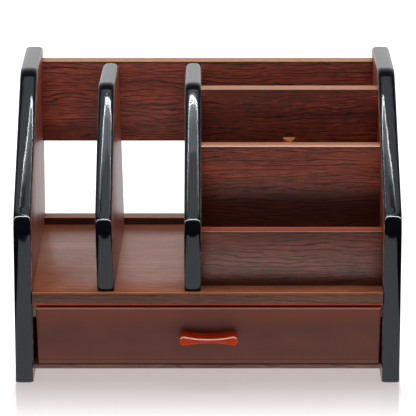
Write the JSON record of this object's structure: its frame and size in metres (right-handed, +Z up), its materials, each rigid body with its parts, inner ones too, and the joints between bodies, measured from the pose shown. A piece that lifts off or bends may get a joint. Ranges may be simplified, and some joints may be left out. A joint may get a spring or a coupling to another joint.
{
  "type": "desk organizer",
  "caption": "Wood-grain desk organizer: upright file slots on the left, a stepped letter rack on the right, black-edged uprights and a full-width drawer below.",
  "frame": {"origin": "on the surface it stands on, centred on the overall width and on the overall depth from the drawer handle to the back", "axes": "+X along the width to the right as seen from the front, +Y from front to back, +Z up"},
  "size_m": [0.3634, 0.269, 0.2695],
  "materials": {
    "wood_grain_laminate": "satin dark red-brown wood-grain laminate, raw tan top edges",
    "shelf_laminate": "semi-gloss red-brown wood-grain laminate",
    "shelf_edge_band": "satin brown wood-grain edge band",
    "black_gloss_trim": "high gloss",
    "drawer_front_brown": "satin brown paint",
    "handle_gloss_red": "high gloss orange-red",
    "unfinished_wood": "unfinished",
    "beech_dowel": "unfinished, fluted",
    "zinc_steel": "zinc plated"
  },
  "bodies": {
    "case": {"left_side_panel": "wood_grain_laminate", "right_side_panel": "wood_grain_laminate", "left_divider": "wood_grain_laminate", "middle_divider": "wood_grain_laminate", "left_side_panel_trim": "black_gloss_trim", "right_side_panel_trim": "black_gloss_trim", "left_divider_trim": "black_gloss_trim", "middle_divider_trim": "black_gloss_trim", "shelf": "shelf_laminate", "shelf_edge_band": "shelf_edge_band", "bottom_panel": "shelf_edge_band", "upper_back_rail": "wood_grain_laminate", "lower_back_panel": "wood_grain_laminate", "front_rack_board": "wood_grain_laminate", "middle_rack_board": "wood_grain_laminate", "rear_rack_board": "wood_grain_laminate", "rear_tray_floor": "unfinished_wood", "drawer_guide_strip_left": "unfinished_wood", "drawer_guide_strip_right": "unfinished_wood", "dowel_back_left_1": "beech_dowel", "dowel_back_left_2": "beech_dowel", "dowel_back_right_1": "beech_dowel", "dowel_back_right_2": "beech_dowel", "dowel_divider_left_1": "beech_dowel", "dowel_divider_left_2": "beech_dowel", "dowel_divider_middle_1": "beech_dowel", "dowel_divider_middle_2": "beech_dowel", "dowel_rack_front_left_1": "beech_dowel", "dowel_rack_front_right_1": "beech_dowel", "dowel_rack_middle_left_1": "beech_dowel", "dowel_rack_middle_left_2": "beech_dowel", "dowel_rack_middle_right_1": "beech_dowel", "dowel_rack_middle_right_2": "beech_dowel", "dowel_rack_rear_left_1": "beech_dowel", "dowel_rack_rear_left_2": "beech_dowel", "dowel_rack_rear_right_1": "beech_dowel", "dowel_rack_rear_right_2": "beech_dowel", "dowel_rail_left_1": "beech_dowel", "dowel_rail_left_2": "beech_dowel", "dowel_rail_right_1": "beech_dowel", "dowel_rail_right_2": "beech_dowel", "dowel_shelf_left_1": "beech_dowel", "dowel_shelf_left_2": "beech_dowel", "dowel_shelf_right_1": "beech_dowel", "dowel_shelf_right_2": "beech_dowel", "dowel_top_left_1": "beech_dowel", "dowel_top_middle_1": "beech_dowel"},
    "drawer": {"drawer_front": "drawer_front_brown", "drawer_side_left": "unfinished_wood", "drawer_side_right": "unfinished_wood", "drawer_back": "unfinished_wood", "drawer_bottom": "unfinished_wood", "drawer_handle": "handle_gloss_red", "handle_screw_1": "zinc_steel", "handle_screw_2": "zinc_steel"}
  },
  "joints": [
    {"name": "drawer_slide", "type": "slide", "parent": "case", "child": "drawer", "axis": [0, -1, 0], "range_m": [0, 0.16]}
  ]
}
